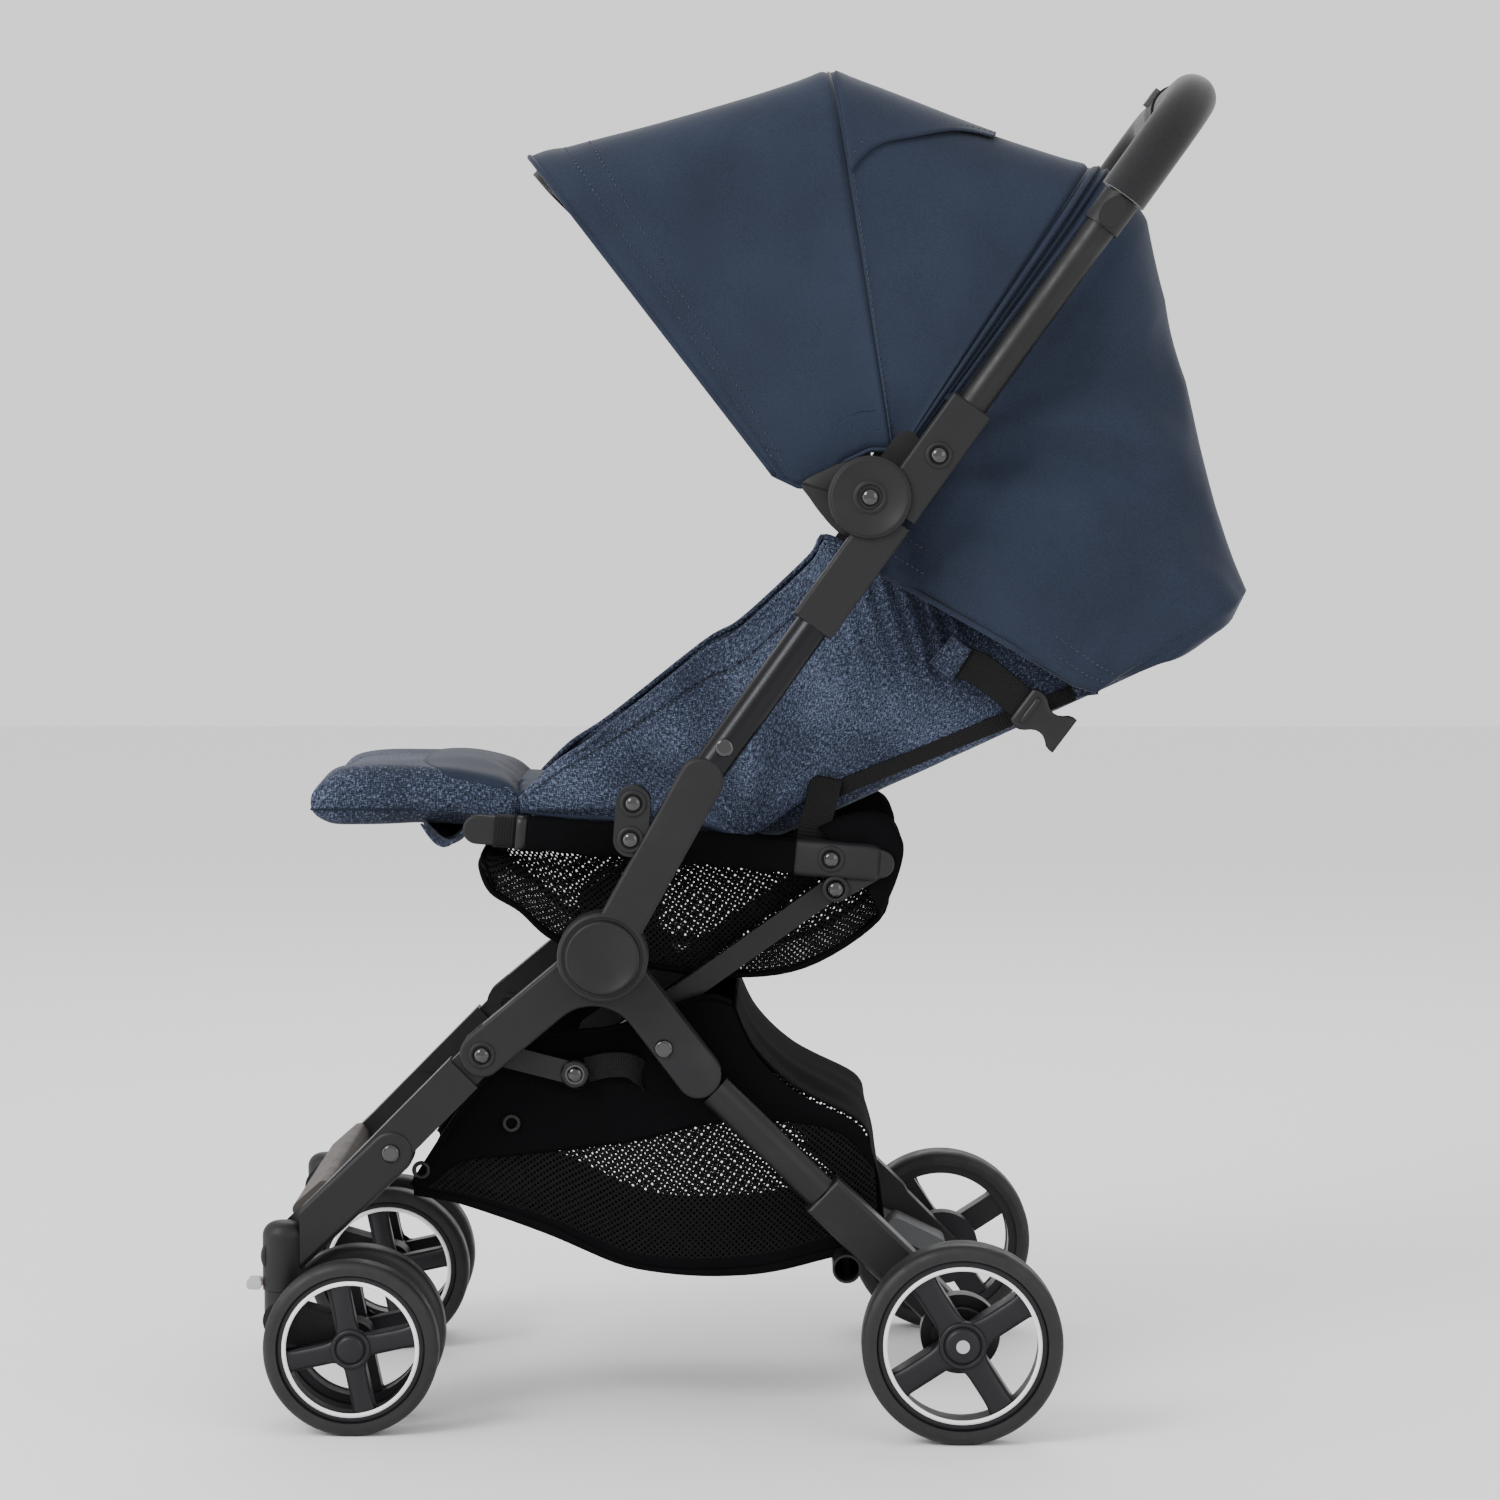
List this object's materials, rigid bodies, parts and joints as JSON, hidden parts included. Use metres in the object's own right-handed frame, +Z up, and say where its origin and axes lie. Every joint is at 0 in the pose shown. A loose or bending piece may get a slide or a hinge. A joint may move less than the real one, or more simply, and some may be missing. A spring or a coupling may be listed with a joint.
{
  "type": "baby stroller",
  "caption": "Compact folding baby stroller with a reclining seat, adjustable legrest, folding hood, shopping basket and swivelling front wheels.",
  "frame": {"origin": "centre of the footprint box on the floor, midway between the two sides", "axes": "+Z up, -X towards the front (the legrest), +X towards the handle, -Y the right-hand side"},
  "size_m": [0.7572, 0.503, 1.021],
  "materials": {
    "black_frame": "matte black powder-coated tube",
    "black_moulding": "fine-grained black moulding",
    "gloss_cap": "polished black cap",
    "rivet_black": "glossy black domed rivet",
    "steel_pin": "plain steel pin",
    "grey_plastic": "light grey moulding",
    "tyre_black": "soft black tyre",
    "wheel_black": "satin black wheel moulding",
    "foam_grip": "closed-cell black foam",
    "seat_blue": "heather mid-blue woven cloth",
    "hood_navy": "dark navy plain weave",
    "black_net": "open black 3D net",
    "basket_cloth": "black woven cloth and net",
    "black_webbing": "black polyester webbing",
    "reflective_ring": "white reflective ring",
    "warm_brace": "grey-brown foot rest moulding"
  },
  "bodies": {
    "chassis": {"right_leg_casting": "black_moulding", "left_leg_casting": "black_moulding", "right_rear_leg": "black_moulding", "left_rear_leg": "black_moulding", "rear_cross_bar": "black_frame", "rear_axles": "steel_pin", "hub_pins": "steel_pin", "brake_drums": "grey_plastic", "frame_rivets": "rivet_black", "basket": "basket_cloth"},
    "push_frame": {"right_hub_housing": "black_moulding", "left_hub_housing": "black_moulding", "right_lower_tube": "black_frame", "left_lower_tube": "black_frame", "right_lower_knuckle": "black_moulding", "left_lower_knuckle": "black_moulding", "hub_caps": "gloss_cap", "knee_pins": "gloss_cap", "tube_rivets": "rivet_black"},
    "handle": {"right_upper_knuckle": "black_moulding", "left_upper_knuckle": "black_moulding", "handle_tube": "black_frame", "grips": "foam_grip", "handle_collars": "black_moulding", "button_housing": "black_moulding"},
    "fold_button": {"fold_button": "grey_plastic"},
    "front_legs": {"right_front_leg": "black_moulding", "left_front_leg": "black_moulding", "caster_heads": "black_moulding", "front_brace": "warm_brace", "leg_pins": "steel_pin", "leg_rivets": "rivet_black"},
    "right_caster": {"right_caster_fork": "black_moulding"},
    "left_caster": {"left_caster_fork": "black_moulding"},
    "right_front_wheels": {"right_front_tyres": "tyre_black", "right_front_rims": "wheel_black"},
    "left_front_wheels": {"left_front_tyres": "tyre_black", "left_front_rims": "wheel_black"},
    "right_rear_wheel": {"right_rear_tyre": "tyre_black", "right_rear_rim": "wheel_black"},
    "left_rear_wheel": {"left_rear_tyre": "tyre_black", "left_rear_rim": "wheel_black"},
    "right_swivel_lock": {"right_swivel_lock": "grey_plastic"},
    "left_swivel_lock": {"left_swivel_lock": "grey_plastic"},
    "brake_pedal": {"brake_pedal": "grey_plastic"},
    "seat_frame": {"right_seat_rail": "black_frame", "left_seat_rail": "black_frame", "seat_pad": "seat_blue", "side_wings": "seat_blue", "mesh_pocket": "black_net"},
    "seat_struts": {"seat_struts": "black_frame"},
    "backrest": {"backrest_pad": "seat_blue"},
    "legrest": {"legrest_pad": "seat_blue"},
    "hood_base": {"hood_carriers": "black_moulding", "rear_bow": "black_frame", "hood_rear_cloth": "hood_navy"},
    "hood_mid": {"mid_bow": "black_frame"},
    "hood_front": {"front_bow": "black_frame", "hood_front_cloth": "hood_navy"}
  },
  "joints": [
    {"name": "fold", "type": "hinge", "parent": "chassis", "child": "push_frame", "pos_m": [-0.108, 0, 0.36], "axis": [0, 1, 0], "range_deg": [0, 90], "deforming": ["basket", "mesh_pocket", "side_wings", "hood_front_cloth", "hood_rear_cloth"]},
    {"name": "fold_handle", "type": "hinge", "parent": "push_frame", "child": "handle", "pos_m": [0.09091, 0, 0.70289], "axis": [0, -1, 0], "range_deg": [0, 165]},
    {"name": "fold_front_legs", "type": "hinge", "parent": "chassis", "child": "front_legs", "pos_m": [-0.2, 0, 0.283], "axis": [0, -1, 0], "range_deg": [0, 72]},
    {"name": "fold_seat", "type": "hinge", "parent": "push_frame", "child": "seat_frame", "pos_m": [-0.087, 0, 0.448], "axis": [0, -1, 0], "range_deg": [0, 70.56]},
    {"name": "fold_struts", "type": "hinge", "parent": "seat_frame", "child": "seat_struts", "pos_m": [0.0665, 0, 0.406], "axis": [0, 1, 0], "range_deg": [0, 20.06]},
    {"name": "fold_hood_hinge", "type": "hinge", "parent": "handle", "child": "hood_base", "pos_m": [0.09091, 0, 0.70289], "axis": [0, 1, 0], "range_deg": [0, 75]},
    {"name": "hood_close", "type": "hinge", "parent": "hood_base", "child": "hood_mid", "pos_m": [0.09091, 0, 0.70289], "axis": [0, 1, 0], "range_deg": [0, 32], "deforming": ["hood_front_cloth", "hood_rear_cloth"]},
    {"name": "hood_close_front", "type": "hinge", "parent": "hood_mid", "child": "hood_front", "pos_m": [0.09091, 0, 0.70289], "axis": [0, 1, 0], "range_deg": [0, 32]},
    {"name": "backrest_recline", "type": "hinge", "parent": "seat_frame", "child": "backrest", "pos_m": [0.002, 0, 0.456], "axis": [0, -1, 0], "range_deg": [0, 40]},
    {"name": "legrest_tilt", "type": "hinge", "parent": "seat_frame", "child": "legrest", "pos_m": [-0.181, 0, 0.466], "axis": [0, -1, 0], "range_deg": [0, 40]},
    {"name": "brake", "type": "hinge", "parent": "chassis", "child": "brake_pedal", "pos_m": [0.075, 0, 0.12], "axis": [0, 1, 0], "range_deg": [0, 18]},
    {"name": "button_fold_release", "type": "slide", "parent": "handle", "child": "fold_button", "axis": [0.8111, 0, -0.585], "range_m": [0, 0.003], "stiffness_N_per_m": 400, "springref_m": -0.001},
    {"name": "caster_swivel_right", "type": "hinge", "parent": "front_legs", "child": "right_caster", "pos_m": [-0.351, -0.172, 0.1], "axis": [0, 0, 1], "continuous": true},
    {"name": "front_wheel_spin_right", "type": "hinge", "parent": "right_caster", "child": "right_front_wheels", "pos_m": [-0.297, -0.172, 0.066], "axis": [0, 1, 0], "continuous": true},
    {"name": "rear_wheel_spin_right", "type": "hinge", "parent": "chassis", "child": "right_rear_wheel", "pos_m": [0.16, -0.2325, 0.075], "axis": [0, 1, 0], "continuous": true},
    {"name": "swivel_lock_right", "type": "slide", "parent": "right_caster", "child": "right_swivel_lock", "axis": [0, 0, 1], "range_m": [0, 0.006]},
    {"name": "caster_swivel_left", "type": "hinge", "parent": "front_legs", "child": "left_caster", "pos_m": [-0.351, 0.172, 0.1], "axis": [0, 0, 1], "continuous": true},
    {"name": "front_wheel_spin_left", "type": "hinge", "parent": "left_caster", "child": "left_front_wheels", "pos_m": [-0.297, 0.172, 0.066], "axis": [0, 1, 0], "continuous": true},
    {"name": "rear_wheel_spin_left", "type": "hinge", "parent": "chassis", "child": "left_rear_wheel", "pos_m": [0.16, 0.2325, 0.075], "axis": [0, 1, 0], "continuous": true},
    {"name": "swivel_lock_left", "type": "slide", "parent": "left_caster", "child": "left_swivel_lock", "axis": [0, 0, 1], "range_m": [0, 0.006]}
  ],
  "couplings": [
    {"joint": "fold_handle", "follows": "fold", "ratio": 1.8333},
    {"joint": "fold_front_legs", "follows": "fold", "ratio": 0.8},
    {"joint": "fold_seat", "follows": "fold", "ratio": 0.784},
    {"joint": "fold_struts", "follows": "fold", "ratio": 0.22289},
    {"joint": "fold_hood_hinge", "follows": "fold", "ratio": 0.83333},
    {"joint": "hood_close_front", "follows": "hood_close", "ratio": 1}
  ]
}
